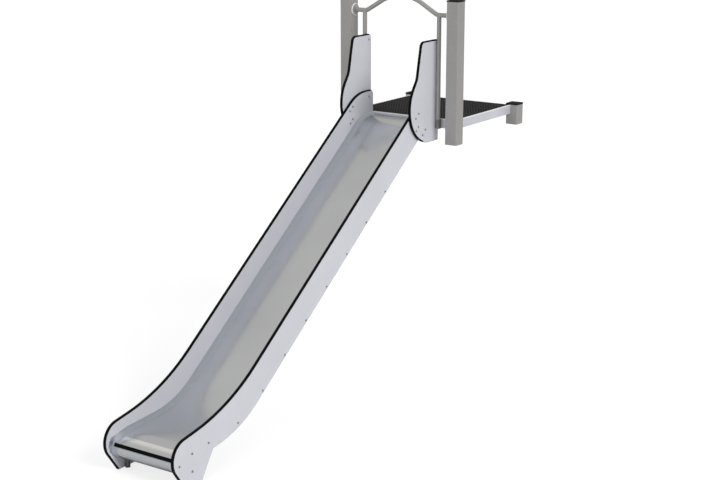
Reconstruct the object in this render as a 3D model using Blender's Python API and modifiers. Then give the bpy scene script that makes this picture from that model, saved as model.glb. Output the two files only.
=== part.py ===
"""Embankment slide: a steel chute between two side panels, hung from a small square platform.

Metres, +Z up. X runs across the slide and the exit faces -Y. The origin lies at the height
of the ground at the exit, straight below the middle of the line through the front posts.
Left and right are as seen from the exit, looking up the slide.
"""

from math import atan2, ceil, cos, floor, radians, sin, tan, tau

import bmesh
import bpy
from mathutils import Matrix, Vector

# Clearances
GAP = 0.0003
SPIGOT_PLAY = 0.0008

# Smoothness of round shapes
ARC_STEP = radians(6.0)
SMALLEST_CHORD = 0.002
LARGEST_CHORD = 0.06
RAIL_RESOLUTION = 6
CUTTER_RESOLUTION = 14
TUBE_SEGMENTS = 24
DISC_STEPS = 36
SMOOTH_ANGLE = radians(40.0)
WELD_DISTANCE = 1e-6

# Platform posts
POST_SPACING_X = 0.940
POST_SPACING_Y = 0.940
POST_SIDE = 0.100
POST_WALL = 0.004
POST_CORNER = 0.008
FRONT_POST_RISE = 0.879
FRONT_POST_DROP = 0.174
REAR_POST_DROP = 0.154

# Post caps
CAP_OVERHANG = 0.0015
CAP_SPIGOT_DEPTH = 0.025
CAP_SPIGOT_CORNER = 0.004
FRONT_CAP_RIM = 0.0105
FRONT_CAP_SHOULDER = 0.003
FRONT_CAP_RISE = 0.016
FRONT_CAP_TIP = 0.002
REAR_CAP_THICKNESS = 0.0130
REAR_CAP_CHAMFER = 0.0025

# Deck and its frame of rebated box beams
DECK_LEVEL = 1.914
DECK_THICKNESS = 0.018
BEAM_HEIGHT = 0.070
BEAM_WIDTH = 0.040
BEAM_LIP = 0.012
BEAM_WALL = 0.004
END_BEAM_INSET = 0.035
SIDE_BEAM_INSET = 0.009

# Side panels, down the top edge from the platform to the toe
PANEL_THICKNESS = 0.019
PANEL_ARRIS = 0.0025
CHUTE_WIDTH = 0.545
SLOPE = radians(36.11)
PANEL_RISE = 0.171
PANEL_TOP_RUN = 0.2116
PANEL_TOP_RADIUS = 0.344
PANEL_REAR_CORNER = 0.040
PANEL_EXIT_LEVEL = 0.4113
PANEL_EXIT_RADIUS = 1.415
PANEL_EXIT_SLOPE = radians(9.46)
PANEL_EXIT_RUN = 0.6587
PANEL_NOSE_RADIUS = 0.134
TOE_ANGLE = radians(55.15)
TOE_CORNER = 0.012

# Side panels, back along the underside from the foot
FOOT_LENGTH = 0.1570
FOOT_REAR_ANGLE = radians(57.5)
FOOT_REAR_CORNER = 0.010
FOOT_HEIGHT = 0.1842
FOOT_INNER_RADIUS = 0.034
UNDERSIDE_SLOPE = radians(5.8)
UNDERSIDE_RADIUS = 0.90
PANEL_DEPTH = 0.220
PANEL_REAR_DROP = 0.114
PANEL_REAR_RADIUS = 0.060
PANEL_REAR_FOOT_CORNER = 0.010

# Wing panels beside the entrance
WING_RISE = 0.596
WING_DROP = 0.159
WING_TOP_LENGTH = 0.2412
WING_TOP_REAR_CORNER = 0.035
WING_TOP_FRONT_CORNER = 0.045
WING_FRONT_ANGLE = radians(77.94)
WING_WAIST_RISE = 0.328
WING_WAIST_RADIUS = 0.080
WING_FLARE_ANGLE = radians(54.31)
WING_LOWER_RADIUS = 0.267

# Chute sheet, along the sliding surface
SHEET = 0.0025
BED_START_DROP = 0.019
BED_START_RADIUS = 0.250
BED_DEPTH = 0.183
BED_EXIT_DEPTH = 0.143
BED_EXIT_SLOPE = radians(3.33)
BED_EXIT_RADIUS = 0.690
BED_CREST_SETBACK = 0.300
BED_CREST_RADIUS = 0.300

# Rolled nose of the chute, its angles counted from straight up towards the exit
NOSE_ENTRY_ANGLE = radians(12.0)
NOSE_ENTRY_RUN = 0.067
NOSE_RADIUS = 0.070
NOSE_END_ANGLE = radians(160.0)

# Cross section of the chute: a wide corner on each side, which tightens round the nose
CORNER_SEGMENTS = 6
BED_CORNER_RADIUS = 0.054
BED_CORNER_ANGLE = radians(48.0)
BED_CORNER_RISE = 0.0205
NOSE_CORNER_RADIUS = 0.005
NOSE_CORNER_ANGLE = radians(86.0)
CHEEK_RISE = 0.038
CHEEK_END_RISE = 0.0075
CORNER_TIGHT_ANGLE = radians(60.0)
CHEEK_PEAK_ANGLE = radians(52.0)
CHEEK_END_ANGLE = radians(130.0)

# Black strip across the nose
STRIP_WIDTH = 0.024
STRIP_THICKNESS = 0.0016
STRIP_ANGLE = radians(62.0)
STRIP_END_PLAY = 0.001

# Round tube used for the arch, its uprights, the cross tubes and the exit legs
TUBE_RADIUS = 0.01685
CROSS_TUBE_START = 0.5176
CROSS_TUBE_PITCH = 0.302
EXIT_LEG_SETBACK = 0.278
EXIT_LEG_HEADROOM = 0.003

# Arch between the front posts, and what carries it
ARCH_Y = 0.003
ARCH_STUB_RISE = 0.773
ARCH_STUB_LENGTH = 0.1095
ARCH_BEND_RADIUS = 0.060
ARCH_SLOPE = radians(30.45)
ARCH_CROWN_RADIUS = 0.346
ROSETTE_RADIUS = 0.0475
ROSETTE_THICKNESS = 0.008
ROSETTE_EDGE = 0.0025
BRACKET_FLAT = 0.003
BRACKET_ARRIS = 0.0015

# Colour, roughness and metallic value of each finish
FINISHES = {
    "laminate": ((0.61, 0.62, 0.66), 0.45, 0.0),
    "stainless": ((0.58, 0.58, 0.58), 0.25, 1.0),
    "galvanised": ((0.33, 0.32, 0.31), 0.50, 0.6),
    "bright_flange": ((0.62, 0.62, 0.61), 0.40, 0.8),
    "aluminium": ((0.60, 0.61, 0.64), 0.40, 0.6),
    "deck_board": ((0.03, 0.03, 0.03), 0.70, 0.0),
    "black_plastic": ((0.012, 0.012, 0.012), 0.50, 0.0),
    "cast_bracket": ((0.16, 0.16, 0.17), 0.55, 0.5),
}

# Planes to draw an outline in: its own X and Y axes lie along the two world axes named
PLANE_XY = Matrix.Identity(4)
PLANE_YZ = Matrix(((0, 0, 1), (1, 0, 0), (0, 1, 0))).to_4x4()
PLANE_XZ = Matrix(((1, 0, 0), (0, 0, -1), (0, 1, 0))).to_4x4()

# Places that follow from the sizes above
POST_X = POST_SPACING_X / 2
POST_HALF = POST_SIDE / 2
FRONT_POST_TOP = DECK_LEVEL + FRONT_POST_RISE
REAR_POST_TOP = DECK_LEVEL
BEAM_BOTTOM = DECK_LEVEL - BEAM_HEIGHT
BEAM_REAR_Y = POST_SPACING_Y - END_BEAM_INSET
SIDE_BEAM_X = POST_X - SIDE_BEAM_INSET
LEDGE_HEIGHT = BEAM_HEIGHT - DECK_THICKNESS - GAP
PANEL_REAR_Y = END_BEAM_INSET - GAP
PANEL_TOP = DECK_LEVEL + PANEL_RISE
HALF_CHUTE = CHUTE_WIDTH / 2
PANEL_X = HALF_CHUTE + PANEL_THICKNESS / 2
WING_X = PANEL_X + PANEL_THICKNESS + GAP
UPRIGHT_X = WING_X + PANEL_THICKNESS / 2 + GAP + TUBE_RADIUS
ARCH_LEVEL = DECK_LEVEL + ARCH_STUB_RISE
STUB_END_X = POST_X - POST_HALF - GAP


def clear_scene():
    """Remove what is in the scene."""
    for obj in list(bpy.data.objects):
        bpy.data.objects.remove(obj, do_unlink=True)


def new_collection(name):
    """A collection linked to the scene."""
    collection = bpy.data.collections.new(name)
    bpy.context.scene.collection.children.link(collection)
    return collection


def add_part(obj, finish):
    """Put a finished piece in the slide's collection, with a material of its own."""
    colour, roughness, metallic = FINISHES[finish]
    material = bpy.data.materials.new(f"{obj.name}_{finish}")
    material.use_nodes = True
    shader = material.node_tree.nodes["Principled BSDF"]
    shader.inputs["Base Color"].default_value = (*colour, 1.0)
    shader.inputs["Roughness"].default_value = roughness
    shader.inputs["Metallic"].default_value = metallic
    obj.data.materials.clear()
    obj.data.materials.append(material)
    slide.objects.link(obj)
    return obj


def add_cutter(obj):
    """Put a shape that only cuts others out of the render."""
    cutters.objects.link(obj)
    obj.hide_render = True
    obj.display_type = "WIRE"
    return obj


def cut(obj, cutter):
    """Take the cutter's shape away from a piece."""
    modifier = obj.modifiers.new(f"cut_by_{cutter.name}", "BOOLEAN")
    modifier.operation = "DIFFERENCE"
    modifier.solver = "EXACT"
    modifier.object = cutter


def mesh_object(name, bm):
    """An object made from a bmesh, whose faces are turned outwards."""
    mesh = bpy.data.meshes.new(name)
    bmesh.ops.recalc_face_normals(bm, faces=bm.faces)
    bm.to_mesh(mesh)
    bm.free()
    return bpy.data.objects.new(name, mesh)


def smooth_shade(obj):
    """Shade the round faces of a mesh smooth and keep its edges sharp."""
    obj.data.shade_smooth()
    obj.data.set_sharp_from_angle(angle=SMOOTH_ANGLE)


def fillet_points(before, corner, after, radius):
    """The points of the arc that rounds one corner of a line."""
    incoming = (corner - before).normalized()
    outgoing = (after - corner).normalized()
    turn = atan2(incoming.cross(outgoing), incoming.dot(outgoing))
    if radius == 0 or turn == 0:
        return [corner]
    start = corner - incoming * radius * tan(abs(turn) / 2)
    inward = Vector((-incoming.y, incoming.x)) * (1 if turn > 0 else -1)
    centre = start + inward * radius
    length = abs(turn) * radius
    fine_steps = min(ceil(abs(turn) / ARC_STEP), ceil(length / SMALLEST_CHORD))
    steps = max(2, fine_steps, ceil(length / LARGEST_CHORD))
    spoke = start - centre
    return [centre + Matrix.Rotation(turn * step / steps, 2) @ spoke for step in range(steps + 1)]


def rounded_polygon(corners):
    """A closed outline from corners given as (x, y, fillet radius)."""
    places = [Vector(corner[:2]) for corner in corners]
    outline = []
    for index, corner in enumerate(corners):
        after = places[(index + 1) % len(corners)]
        outline += fillet_points(places[index - 1], places[index], after, corner[2])
    return outline


def rounded_path(corners):
    """An open line from corners given as (x, y, fillet radius), its two ends as they are."""
    places = [Vector(corner[:2]) for corner in corners]
    path = [places[0]]
    for index in range(1, len(corners) - 1):
        path += fillet_points(
            places[index - 1], places[index], places[index + 1], corners[index][2]
        )
    return path + [places[-1]]


def rounded_square(half, corner):
    """A square outline about its own centre."""
    signs = ((1, -1), (1, 1), (-1, 1), (-1, -1))
    return rounded_polygon([(half * x, half * y, corner) for x, y in signs])


def crossing(point_a, angle_a, point_b, angle_b):
    """The point where two lines cross, each given by a point and an angle."""
    direction_a = Vector((cos(angle_a), sin(angle_a)))
    direction_b = Vector((cos(angle_b), sin(angle_b)))
    offset = Vector(point_b) - Vector(point_a)
    along = offset.cross(direction_b) / direction_a.cross(direction_b)
    return Vector(point_a) + direction_a * along


def ease(value, start, end):
    """0 before start, 1 after end, and a smooth rise between them."""
    share = min(max((value - start) / (end - start), 0.0), 1.0)
    return share * share * (3 - 2 * share)


def blend(first, second, share):
    """A value part of the way from the first to the second."""
    return first + (second - first) * share


def extruded(name, outlines, thickness, plane, place, arris=0.0):
    """A flat outline, with any further ones as holes, made thick both ways from its plane."""
    curve = bpy.data.curves.new(name, "CURVE")
    curve.dimensions = "2D"
    curve.fill_mode = "BOTH"
    curve.extrude = thickness / 2 - arris
    curve.bevel_depth = arris
    curve.bevel_resolution = 1
    curve.offset = -arris
    for outline in outlines:
        spline = curve.splines.new("POLY")
        spline.points.add(len(outline) - 1)
        for point, spot in zip(spline.points, outline):
            point.co = (spot.x, spot.y, 0.0, 1.0)
        spline.use_cyclic_u = True
    obj = bpy.data.objects.new(name, curve)
    obj.matrix_world = Matrix.Translation(place) @ plane
    return obj


def bar_along(name, points, radius, resolution):
    """A round bar along a line of points, with filled ends."""
    curve = bpy.data.curves.new(name, "CURVE")
    curve.dimensions = "3D"
    curve.bevel_depth = radius
    curve.bevel_resolution = resolution
    curve.use_fill_caps = True
    spline = curve.splines.new("POLY")
    spline.points.add(len(points) - 1)
    for point, spot in zip(spline.points, points):
        point.co = (*spot, 1.0)
    return bpy.data.objects.new(name, curve)


def straight_bar(name, start, end):
    """A straight piece of the round tube between two points."""
    axis = Vector(end) - Vector(start)
    bm = bmesh.new()
    bmesh.ops.create_cone(
        bm,
        cap_ends=True,
        segments=TUBE_SEGMENTS,
        radius1=TUBE_RADIUS,
        radius2=TUBE_RADIUS,
        depth=axis.length,
    )
    obj = mesh_object(name, bm)
    smooth_shade(obj)
    turn = Vector((0, 0, 1)).rotation_difference(axis).to_matrix().to_4x4()
    obj.matrix_world = Matrix.Translation((Vector(start) + Vector(end)) / 2) @ turn
    return obj


def box(name, low, high):
    """A box between two corners."""
    low = Vector(low)
    high = Vector(high)
    bm = bmesh.new()
    bmesh.ops.create_cube(bm, size=1.0)
    bmesh.ops.scale(bm, verts=bm.verts, vec=high - low)
    obj = mesh_object(name, bm)
    obj.location = (low + high) / 2
    return obj


def as_mesh(obj):
    """A curve object's shape as a mesh object, with its end caps welded on."""
    cutters.objects.link(obj)
    bpy.context.view_layer.update()
    graph = bpy.context.evaluated_depsgraph_get()
    mesh = bpy.data.meshes.new_from_object(obj.evaluated_get(graph))
    bm = bmesh.new()
    bm.from_mesh(mesh)
    bpy.data.meshes.remove(mesh)
    bmesh.ops.remove_doubles(bm, verts=bm.verts, dist=WELD_DISTANCE)
    solid = mesh_object(f"{obj.name}_mesh", bm)
    solid.matrix_world = obj.matrix_world
    bpy.data.objects.remove(obj)
    return solid


def stacked_square(name, corner, levels):
    """A square body drawn upward by extruding: levels are (height, half side)."""
    height, half = levels[0]
    bm = bmesh.new()
    ring = [bm.verts.new((spot.x, spot.y, height)) for spot in rounded_square(half, corner)]
    bottom = bm.faces.new(ring)
    top = bottom
    for next_height, next_half in levels[1:]:
        drawn = bmesh.ops.extrude_face_region(bm, geom=[top])["geom"]
        if top is not bottom:
            bmesh.ops.delete(bm, geom=[top], context="FACES_ONLY")
        moved = [item for item in drawn if isinstance(item, bmesh.types.BMVert)]
        top = next(item for item in drawn if isinstance(item, bmesh.types.BMFace))
        growth = next_half / half
        bmesh.ops.scale(bm, verts=moved, vec=(growth, growth, 1.0))
        bmesh.ops.translate(bm, verts=moved, vec=(0, 0, next_height - height))
        height, half = next_height, next_half
    return mesh_object(name, bm)


def turned_ring(name, profile):
    """A ring turned about Z from a closed profile of (radius, height), listed outer side first."""
    bm = bmesh.new()
    spots = [bm.verts.new((radius, 0, height)) for radius, height in profile]
    for index, spot in enumerate(spots):
        bm.edges.new((spot, spots[(index + 1) % len(spots)]))
    mesh = bpy.data.meshes.new(name)
    bm.to_mesh(mesh)
    bm.free()
    obj = bpy.data.objects.new(name, mesh)
    screw = obj.modifiers.new("turn", "SCREW")
    screw.angle = tau
    screw.steps = DISC_STEPS
    screw.render_steps = DISC_STEPS
    screw.use_merge_vertices = True
    screw.merge_threshold = WELD_DISTANCE
    return obj


def side_name(sign):
    """The name of the side at +X or -X."""
    return "right" if sign > 0 else "left"


def add_posts():
    """Four hollow square posts with plastic caps: two tall ones in front, two short behind."""
    bore = POST_HALF - POST_WALL
    outlines = [
        rounded_square(POST_HALF, POST_CORNER),
        rounded_square(bore, POST_CORNER - POST_WALL),
    ]
    spigot = bore - SPIGOT_PLAY
    rim = POST_HALF + CAP_OVERHANG
    seat = GAP
    front_cap = [
        (-CAP_SPIGOT_DEPTH, spigot),
        (seat, spigot),
        (seat, rim),
        (FRONT_CAP_RIM, rim),
        (FRONT_CAP_RIM, rim - FRONT_CAP_SHOULDER),
        (FRONT_CAP_RIM + FRONT_CAP_RISE, FRONT_CAP_TIP),
    ]
    rear_cap = [
        (-CAP_SPIGOT_DEPTH, spigot),
        (seat, spigot),
        (seat, rim),
        (REAR_CAP_THICKNESS - REAR_CAP_CHAMFER, rim),
        (REAR_CAP_THICKNESS, rim - REAR_CAP_CHAMFER),
    ]
    rows = (
        ("front", 0.0, DECK_LEVEL - FRONT_POST_DROP, FRONT_POST_TOP, front_cap),
        ("rear", POST_SPACING_Y, DECK_LEVEL - REAR_POST_DROP, REAR_POST_TOP, rear_cap),
    )
    for row, y, foot, top, cap_levels in rows:
        for sign in (-1, 1):
            name = f"{row}_post_{side_name(sign)}"
            middle = (sign * POST_X, y, (foot + top) / 2)
            add_part(extruded(name, outlines, top - foot, PLANE_XY, middle), "galvanised")
            cap = stacked_square(f"{row}_post_cap_{side_name(sign)}", CAP_SPIGOT_CORNER, cap_levels)
            cap.location = (sign * POST_X, y, top)
            add_part(cap, "black_plastic")


def beam_outlines(inward):
    """A box beam's section, seen along it, with a rebate for the deck on its inner side."""
    roof = LEDGE_HEIGHT - BEAM_WALL
    outer = (
        (0.0, 0.0),
        (BEAM_WIDTH, 0.0),
        (BEAM_WIDTH, LEDGE_HEIGHT),
        (BEAM_LIP, LEDGE_HEIGHT),
        (BEAM_LIP, BEAM_HEIGHT),
        (0.0, BEAM_HEIGHT),
    )
    chamber = (
        (BEAM_WALL, BEAM_WALL),
        (BEAM_WIDTH - BEAM_WALL, BEAM_WALL),
        (BEAM_WIDTH - BEAM_WALL, roof),
        (BEAM_WALL, roof),
    )
    return [[Vector((inward * u, v)) for u, v in outline] for outline in (outer, chamber)]


def add_deck():
    """The deck board in its frame of four beams, notched round the posts."""
    beam_length = 2 * STUB_END_X
    for name, y, inward in (("front_beam", END_BEAM_INSET, 1), ("rear_beam", BEAM_REAR_Y, -1)):
        place = (0.0, y, BEAM_BOTTOM)
        add_part(extruded(name, beam_outlines(inward), beam_length, PLANE_YZ, place), "aluminium")
    side_length = POST_SPACING_Y - POST_SIDE - 2 * GAP
    for sign in (-1, 1):
        name = f"side_beam_{side_name(sign)}"
        place = (sign * SIDE_BEAM_X, POST_SPACING_Y / 2, BEAM_BOTTOM)
        add_part(extruded(name, beam_outlines(-sign), side_length, PLANE_XZ, place), "aluminium")

    reach_x = SIDE_BEAM_X - BEAM_LIP - GAP
    front_y = END_BEAM_INSET + BEAM_LIP + GAP
    rear_y = BEAM_REAR_Y - BEAM_LIP - GAP
    low = (-reach_x, front_y, DECK_LEVEL - DECK_THICKNESS)
    high = (reach_x, rear_y, DECK_LEVEL)
    deck = box("deck_board", low, high)
    room = POST_HALF + GAP
    for row, y in (("front", 0.0), ("rear", POST_SPACING_Y)):
        for sign in (-1, 1):
            notch_low = (sign * POST_X - room, y - room, DECK_LEVEL - 2 * DECK_THICKNESS)
            notch_high = (sign * POST_X + room, y + room, DECK_LEVEL + DECK_THICKNESS)
            notch = box(f"{row}_{side_name(sign)}_notch", notch_low, notch_high)
            cut(deck, add_cutter(notch))
    add_part(deck, "deck_board")


def slope_line(depth):
    """A point on the line that runs parallel to the panel's top edge, the given depth below it."""
    top_bend_y = PANEL_REAR_Y - PANEL_TOP_RUN
    return (top_bend_y + depth * sin(SLOPE), PANEL_TOP - depth * cos(SLOPE))


def panel_exit_bend():
    """The corner between the panel's slope and its run-out, before rounding."""
    return crossing(slope_line(0.0), SLOPE, (0.0, PANEL_EXIT_LEVEL), 0.0)


def panel_nose():
    """The panel's foremost corner, before rounding."""
    bend = panel_exit_bend()
    return bend - Vector((1.0, tan(PANEL_EXIT_SLOPE))) * PANEL_EXIT_RUN


def panel_corners():
    """The side panel's outline in (y, z, fillet radius), from the platform down and back."""
    top_bend = slope_line(0.0)
    exit_bend = panel_exit_bend()
    nose = panel_nose()
    toe_y = nose.x + nose.y / tan(TOE_ANGLE)
    foot_rear_y = toe_y + FOOT_LENGTH
    foot_top_y = foot_rear_y + FOOT_HEIGHT / tan(FOOT_REAR_ANGLE)
    low_line = slope_line(PANEL_DEPTH)
    rear_foot = DECK_LEVEL - PANEL_REAR_DROP
    underside = crossing((foot_top_y, FOOT_HEIGHT), UNDERSIDE_SLOPE, low_line, SLOPE)
    rear_bend = crossing(low_line, SLOPE, (0.0, rear_foot), 0.0)
    return [
        (PANEL_REAR_Y, PANEL_TOP, PANEL_REAR_CORNER),
        (*top_bend, PANEL_TOP_RADIUS),
        (*exit_bend, PANEL_EXIT_RADIUS),
        (*nose, PANEL_NOSE_RADIUS),
        (toe_y, 0.0, TOE_CORNER),
        (foot_rear_y, 0.0, FOOT_REAR_CORNER),
        (foot_top_y, FOOT_HEIGHT, FOOT_INNER_RADIUS),
        (*underside, UNDERSIDE_RADIUS),
        (*rear_bend, PANEL_REAR_RADIUS),
        (PANEL_REAR_Y, rear_foot, PANEL_REAR_FOOT_CORNER),
    ]


def wing_corners():
    """The wing panel's outline in (y, z, fillet radius)."""
    top = DECK_LEVEL + WING_RISE
    bottom = DECK_LEVEL - WING_DROP
    top_front = (PANEL_REAR_Y - WING_TOP_LENGTH, top)
    waist = crossing(top_front, WING_FRONT_ANGLE, (0.0, DECK_LEVEL + WING_WAIST_RISE), 0.0)
    belly = crossing(waist, WING_FLARE_ANGLE, (0.0, bottom), 0.0)
    return [
        (PANEL_REAR_Y, top, WING_TOP_REAR_CORNER),
        (*top_front, WING_TOP_FRONT_CORNER),
        (*waist, WING_WAIST_RADIUS),
        (*belly, WING_LOWER_RADIUS),
        (PANEL_REAR_Y, bottom, 0.0),
    ]


def add_panels():
    """The side panels that follow the slide, and the wings outside them at the entrance."""
    side_outline = rounded_polygon(panel_corners())
    wing_outline = rounded_polygon(wing_corners())
    kinds = (("side_panel", side_outline, PANEL_X), ("wing_panel", wing_outline, WING_X))
    for kind, outline, x in kinds:
        for sign in (-1, 1):
            name = f"{kind}_{side_name(sign)}"
            place = (sign * x, 0.0, 0.0)
            panel = extruded(name, [outline], PANEL_THICKNESS, PLANE_YZ, place, PANEL_ARRIS)
            add_part(panel, "laminate")


def bed_corners():
    """The sliding surface in (y, z, fillet radius), from the platform to the nose's roll."""
    start_level = DECK_LEVEL - BED_START_DROP
    slope_point = slope_line(BED_DEPTH)
    exit_point = panel_exit_bend() - Vector((0.0, BED_EXIT_DEPTH))
    start_bend = crossing((0.0, start_level), 0.0, slope_point, SLOPE)
    exit_bend = crossing(slope_point, SLOPE, exit_point, BED_EXIT_SLOPE)
    crest_y = panel_nose().x + BED_CREST_SETBACK
    crest = crossing(exit_point, BED_EXIT_SLOPE, (crest_y, 0.0), tau / 4)
    fall = Vector((-cos(NOSE_ENTRY_ANGLE), -sin(NOSE_ENTRY_ANGLE)))
    bend_reach = BED_CREST_RADIUS * tan((NOSE_ENTRY_ANGLE - BED_EXIT_SLOPE) / 2)
    roll_start = crest + fall * (bend_reach + NOSE_ENTRY_RUN)
    return [
        (PANEL_REAR_Y, start_level, 0.0),
        (*start_bend, BED_START_RADIUS),
        (*exit_bend, BED_EXIT_RADIUS),
        (*crest, BED_CREST_RADIUS),
        (*roll_start, 0.0),
    ]


def nose_centre():
    """The centre of the nose's roll in (y, z)."""
    roll_start = Vector(bed_corners()[-1][:2])
    return roll_start - Vector((-sin(NOSE_ENTRY_ANGLE), cos(NOSE_ENTRY_ANGLE))) * NOSE_RADIUS


def nose_point(angle, radius):
    """A point in (y, z) at an angle round the nose."""
    return nose_centre() + Vector((-sin(angle), cos(angle))) * radius


def nose_angles():
    """The angles of the stations round the nose, after the one where its roll starts."""
    sweep = NOSE_END_ANGLE - NOSE_ENTRY_ANGLE
    count = ceil(sweep / ARC_STEP)
    return [NOSE_ENTRY_ANGLE + sweep * step / count for step in range(1, count + 1)]


def half_section(angle):
    """The chute's section from its middle to its edge, as (across, up), at an angle of the nose.

    Up to the angle where the roll starts, it is the section of the whole bed.
    """
    tight = ease(angle, NOSE_ENTRY_ANGLE, CORNER_TIGHT_ANGLE)
    radius = blend(BED_CORNER_RADIUS, NOSE_CORNER_RADIUS, tight)
    bend = blend(BED_CORNER_ANGLE, NOSE_CORNER_ANGLE, tight)
    rise = blend(BED_CORNER_RISE, CHEEK_RISE, ease(angle, NOSE_ENTRY_ANGLE, CHEEK_PEAK_ANGLE))
    rise = blend(rise, CHEEK_END_RISE, ease(angle, CHEEK_PEAK_ANGLE, CHEEK_END_ANGLE))
    flange = (rise - radius * (1 - cos(bend))) / sin(bend)
    edge = HALF_CHUTE - GAP - SHEET * sin(bend)
    flat = edge - radius * sin(bend) - flange * cos(bend)
    section = [(0.0, 0.0)]
    for step in range(CORNER_SEGMENTS + 1):
        turned = bend * step / CORNER_SEGMENTS
        section.append((flat + radius * sin(turned), radius * (1 - cos(turned))))
    section.append((edge, rise))
    return section


def line_normal(line, index):
    """The upward normal of a line of points at one of them, stretched to mitre its bend."""
    before = line[max(index - 1, 0)]
    here = line[index]
    after = line[min(index + 1, len(line) - 1)]
    directions = [step.normalized() for step in (here - before, after - here) if step.length > 0]
    normals = [Vector((step.y, -step.x)) for step in directions]
    mean = sum(normals, Vector((0.0, 0.0))).normalized()
    return mean / mean.dot(normals[0])


def add_chute():
    """One steel sheet: bed, upswept corners and rolled nose, with the black strip on the nose."""
    angles = nose_angles()
    bed = rounded_path(bed_corners())
    line = bed + [nose_point(angle, NOSE_RADIUS) for angle in angles]
    sections = [half_section(angle) for angle in [NOSE_ENTRY_ANGLE] * len(bed) + angles]
    half_count = len(sections[0]) - 1
    last_row = len(line) - 1

    bm = bmesh.new()
    bmesh.ops.create_grid(bm, x_segments=2 * half_count, y_segments=last_row, size=1.0)
    for vert in bm.verts:
        column = round(vert.co.x * half_count)
        row = round((1.0 - vert.co.y) / 2 * last_row)
        across, up = sections[row][abs(column)]
        spot = line[row] + line_normal(line, row) * up
        vert.co = (across if column > 0 else -across, spot.x, spot.y)
    mesh = bpy.data.meshes.new("chute_bed")
    bm.to_mesh(mesh)
    bm.free()
    chute = bpy.data.objects.new("chute_bed", mesh)
    wall = chute.modifiers.new("sheet", "SOLIDIFY")
    wall.thickness = SHEET
    wall.offset = -1.0
    wall.use_even_offset = True
    smooth_shade(chute)
    add_part(chute, "stainless")

    half_spread = STRIP_WIDTH / (2 * NOSE_RADIUS)
    spread = [STRIP_ANGLE + half_spread * share for share in (-1.0, -0.5, 0.0, 0.5, 1.0)]
    inner = [nose_point(angle, NOSE_RADIUS + GAP) for angle in spread]
    outer = [nose_point(angle, NOSE_RADIUS + GAP + STRIP_THICKNESS) for angle in spread]
    reach = half_section(spread[0])[1][0] - STRIP_END_PLAY
    strip = extruded("nose_strip", [inner + outer[::-1]], 2 * reach, PLANE_YZ, (0.0, 0.0, 0.0))
    add_part(strip, "black_plastic")


def spot_along(line, distance):
    """The point that lies the given distance along a line."""
    for start, end in zip(line, line[1:]):
        length = (end - start).length
        if distance <= length:
            return start.lerp(end, distance / length)
        distance -= length
    raise ValueError("the line is shorter than the distance")


def bed_level(y):
    """The height of the sliding surface at a place along the slide."""
    bed = rounded_path(bed_corners())
    for start, end in zip(bed, bed[1:]):
        if end.x <= y <= start.x:
            return start.y + (end.y - start.y) * (start.x - y) / (start.x - end.x)
    raise ValueError("the place lies outside the bed")


def add_tubes_under_chute():
    """Cross tubes between the side panels, evenly spaced under the bed, and the two exit legs."""
    crest_y = bed_corners()[-2][0]
    bed = [spot for spot in rounded_path(bed_corners()) if spot.x > crest_y]
    depth = SHEET + GAP + TUBE_RADIUS
    tube_line = [spot - line_normal(bed, index) * depth for index, spot in enumerate(bed)]
    length = sum((end - start).length for start, end in zip(tube_line, tube_line[1:]))
    room = length - CROSS_TUBE_START - 2 * TUBE_RADIUS
    count = floor(room / CROSS_TUBE_PITCH) + 1
    end_x = HALF_CHUTE - GAP
    for index in range(count):
        centre = spot_along(tube_line, CROSS_TUBE_START + index * CROSS_TUBE_PITCH)
        start = (-end_x, *centre)
        end = (end_x, *centre)
        add_part(straight_bar(f"cross_tube_{index + 1:02d}", start, end), "galvanised")

    leg_y = panel_nose().x + EXIT_LEG_SETBACK
    leg_top = bed_level(leg_y) - SHEET - EXIT_LEG_HEADROOM
    leg_x = HALF_CHUTE - GAP - TUBE_RADIUS
    for sign in (-1, 1):
        foot = (sign * leg_x, leg_y, 0.0)
        head = (sign * leg_x, leg_y, leg_top)
        add_part(straight_bar(f"exit_leg_{side_name(sign)}", foot, head), "galvanised")


def arch_points():
    """The middle line of the arch rail, post to post."""
    bend_x = STUB_END_X - ARCH_STUB_LENGTH
    crown = ARCH_LEVEL + bend_x * tan(ARCH_SLOPE)
    corners = [
        (-STUB_END_X, ARCH_LEVEL, 0.0),
        (-bend_x, ARCH_LEVEL, ARCH_BEND_RADIUS),
        (0.0, crown, ARCH_CROWN_RADIUS),
        (bend_x, ARCH_LEVEL, ARCH_BEND_RADIUS),
        (STUB_END_X, ARCH_LEVEL, 0.0),
    ]
    return [(spot.x, ARCH_Y, spot.y) for spot in rounded_path(corners)]


def bracket_outline():
    """The bracket seen from above: a foot as wide as the upright, from its round front to the beam."""
    back = END_BEAM_INSET - GAP
    front = ARCH_Y - TUBE_RADIUS
    bend = TUBE_RADIUS - BRACKET_FLAT / 2
    return rounded_polygon([
        (TUBE_RADIUS, back, 0.0),
        (-TUBE_RADIUS, back, 0.0),
        (-TUBE_RADIUS, front, bend),
        (TUBE_RADIUS, front, bend),
    ])


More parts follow.
